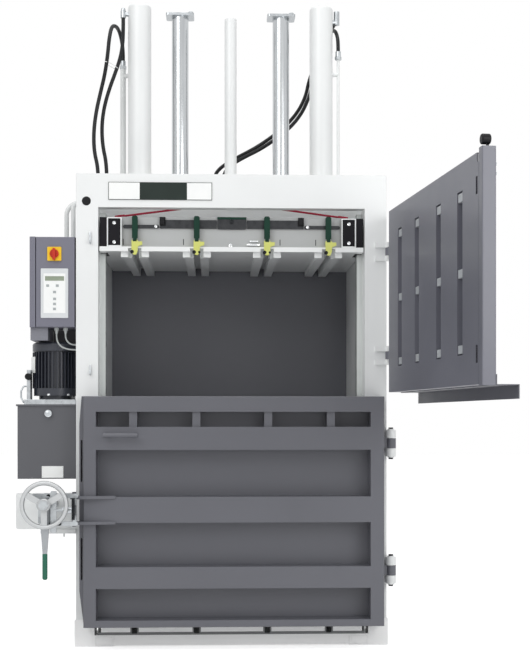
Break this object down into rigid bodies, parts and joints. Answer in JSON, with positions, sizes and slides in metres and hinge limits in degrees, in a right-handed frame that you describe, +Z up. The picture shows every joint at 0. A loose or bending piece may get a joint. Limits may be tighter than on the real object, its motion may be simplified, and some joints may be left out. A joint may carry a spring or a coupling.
{
  "type": "recycling baler",
  "caption": "Vertical hydraulic baler: an open feed door above a spindle-locked bale door, a guided press plate under two cylinders, and a power unit with control box on its side",
  "frame": {"origin": "on the floor, in the middle of the four floor anchor holes, under the middle of the press frame", "axes": "+X to the machine's right as seen from the front, +Y to the back, +Z up; the doors face -Y"},
  "size_m": [1.9289, 2.2985, 3.005],
  "materials": {
    "frame_paint": "light grey gloss enamel",
    "door_paint": "dark grey gloss enamel",
    "floor_steel": "grey primer",
    "chrome_rod": "hard chrome, ground",
    "bronze_guide": "turned bearing bronze",
    "zinc_steel": "zinc plated, bright",
    "hose_rubber": "matt black hose cover",
    "cable_grey": "matt grey cable sheath",
    "motor_paint": "blue-black motor enamel",
    "tank_paint": "dark grey gloss enamel",
    "box_paint": "mid grey powder coat",
    "black_plastic": "matt black moulding",
    "yellow_plate": "yellow switch plate",
    "red_knob": "red switch handle",
    "keypad_film": "light grey keypad film",
    "green_grip": "green moulded grip",
    "clip_paint": "yellow-green enamel",
    "red_cord": "red braided cord",
    "light_insert": "light grey slide strip",
    "black_shoe": "black slide plastic"
  },
  "bodies": {
    "frame": {"frame_posts": "frame_paint", "left_side_wall": "frame_paint", "right_side_wall": "frame_paint", "rear_wall": "door_paint", "chamber_floor": "floor_steel", "top_frame": "frame_paint", "crosshead": "frame_paint", "base_frame": "frame_paint", "guide_rails": "floor_steel", "cylinder_barrels": "frame_paint", "rod_glands": "bronze_guide", "stroke_tube": "frame_paint", "oil_pipes": "zinc_steel", "hose_fittings": "zinc_steel", "left_top_hose": "hose_rubber", "left_side_hose": "hose_rubber", "right_top_hose": "hose_rubber", "right_side_hose": "hose_rubber", "oil_tank": "tank_paint", "pump_base": "zinc_steel", "motor": "motor_paint", "valve_block": "zinc_steel", "control_box": "box_paint", "unit_bracket": "frame_paint", "cable_glands": "cable_grey", "control_cable_1": "cable_grey", "control_cable_2": "cable_grey", "closure_bracket": "frame_paint", "frame_hinges": "frame_paint"},
    "box_lid": {"box_lid": "box_paint", "switch_plate": "yellow_plate", "keypad_panel": "keypad_film"},
    "switch_knob": {"switch_knob": "red_knob"},
    "valve_knob": {"valve_knob": "black_plastic"},
    "handwheel": {"handwheel": "zinc_steel", "spindle": "zinc_steel"},
    "spindle_nut": {"spindle_nut": "zinc_steel"},
    "closure_yoke": {"closure_yoke": "zinc_steel"},
    "ratchet_lever": {"ratchet_lever": "zinc_steel", "lever_grip": "green_grip"},
    "bale_door": {"bale_door_panel": "door_paint", "bale_door_frame": "door_paint", "bale_door_handle": "door_paint", "door_catch": "door_paint"},
    "feed_door": {"feed_door": "door_paint", "feed_door_inserts": "light_insert", "feed_door_apron": "door_paint"},
    "feed_latch_knob": {"feed_latch_knob": "black_plastic"},
    "press_plate": {"platen": "frame_paint", "guide_blocks": "black_shoe", "piston_rods": "chrome_rod", "guide_rods": "chrome_rod", "rod_stops": "zinc_steel", "strap_clips": "clip_paint", "linkage_bars": "door_paint", "pull_cords": "red_cord"},
    "strap_lever_1": {"strap_lever_1": "green_grip"},
    "strap_lever_2": {"strap_lever_2": "green_grip"},
    "strap_lever_3": {"strap_lever_3": "green_grip"},
    "strap_lever_4": {"strap_lever_4": "green_grip"}
  },
  "joints": [
    {"name": "press_slide", "type": "slide", "parent": "frame", "child": "press_plate", "axis": [0, 0, -1], "range_m": [0, 0.78]},
    {"name": "feed_door_hinge", "type": "hinge", "parent": "frame", "child": "feed_door", "pos_m": [0.699, -0.4623, 0], "axis": [0, 0, 1], "range_deg": [-96, 38]},
    {"name": "bale_door_hinge", "type": "hinge", "parent": "frame", "child": "bale_door", "pos_m": [0.711, -0.475, 0], "axis": [0, 0, 1], "range_deg": [0, 95]},
    {"name": "feed_latch_slide", "type": "slide", "parent": "feed_door", "child": "feed_latch_knob", "axis": [0, 0, 1], "range_m": [0, 0.025]},
    {"name": "box_lid_hinge", "type": "hinge", "parent": "frame", "child": "box_lid", "pos_m": [-0.8735, -0.454, 1.6245], "axis": [0, 0, -1], "range_deg": [0, 110]},
    {"name": "main_switch", "type": "hinge", "parent": "box_lid", "child": "switch_knob", "pos_m": [-0.79, -0.46, 1.749], "axis": [0, 1, 0], "range_deg": [0, 90]},
    {"name": "valve_turn", "type": "hinge", "parent": "frame", "child": "valve_knob", "pos_m": [-0.919, -0.35, 1.206], "axis": [0, 1, 0], "range_deg": [0, 720]},
    {"name": "handwheel_spin", "type": "hinge", "parent": "frame", "child": "handwheel", "pos_m": [-0.804, -0.698, 0.647], "axis": [0, -1, 0], "range_deg": [0, 360]},
    {"name": "spindle_nut_slide", "type": "slide", "parent": "frame", "child": "spindle_nut", "axis": [0, -1, 0], "range_m": [0, 0.0062]},
    {"name": "closure_yoke_swing", "type": "hinge", "parent": "spindle_nut", "child": "closure_yoke", "pos_m": [-0.804, -0.6, 0.647], "axis": [0, 1, 0], "range_deg": [0, 100]},
    {"name": "ratchet_lever_swing", "type": "hinge", "parent": "frame", "child": "ratchet_lever", "pos_m": [-0.804, -0.669, 0.647], "axis": [0, 1, 0], "range_deg": [-120, 120]},
    {"name": "strap_lever_1_tilt", "type": "hinge", "parent": "press_plate", "child": "strap_lever_1", "pos_m": [-0.435, -0.424, 1.808], "axis": [1, 0, 0], "range_deg": [0, 45]},
    {"name": "strap_lever_2_tilt", "type": "hinge", "parent": "press_plate", "child": "strap_lever_2", "pos_m": [-0.158, -0.424, 1.808], "axis": [1, 0, 0], "range_deg": [0, 45]},
    {"name": "strap_lever_3_tilt", "type": "hinge", "parent": "press_plate", "child": "strap_lever_3", "pos_m": [0.158, -0.424, 1.808], "axis": [1, 0, 0], "range_deg": [0, 45]},
    {"name": "strap_lever_4_tilt", "type": "hinge", "parent": "press_plate", "child": "strap_lever_4", "pos_m": [0.435, -0.424, 1.808], "axis": [1, 0, 0], "range_deg": [0, 45]}
  ],
  "couplings": [
    {"joint": "spindle_nut_slide", "follows": "handwheel_spin", "m_per_rad": 0.00095493}
  ]
}
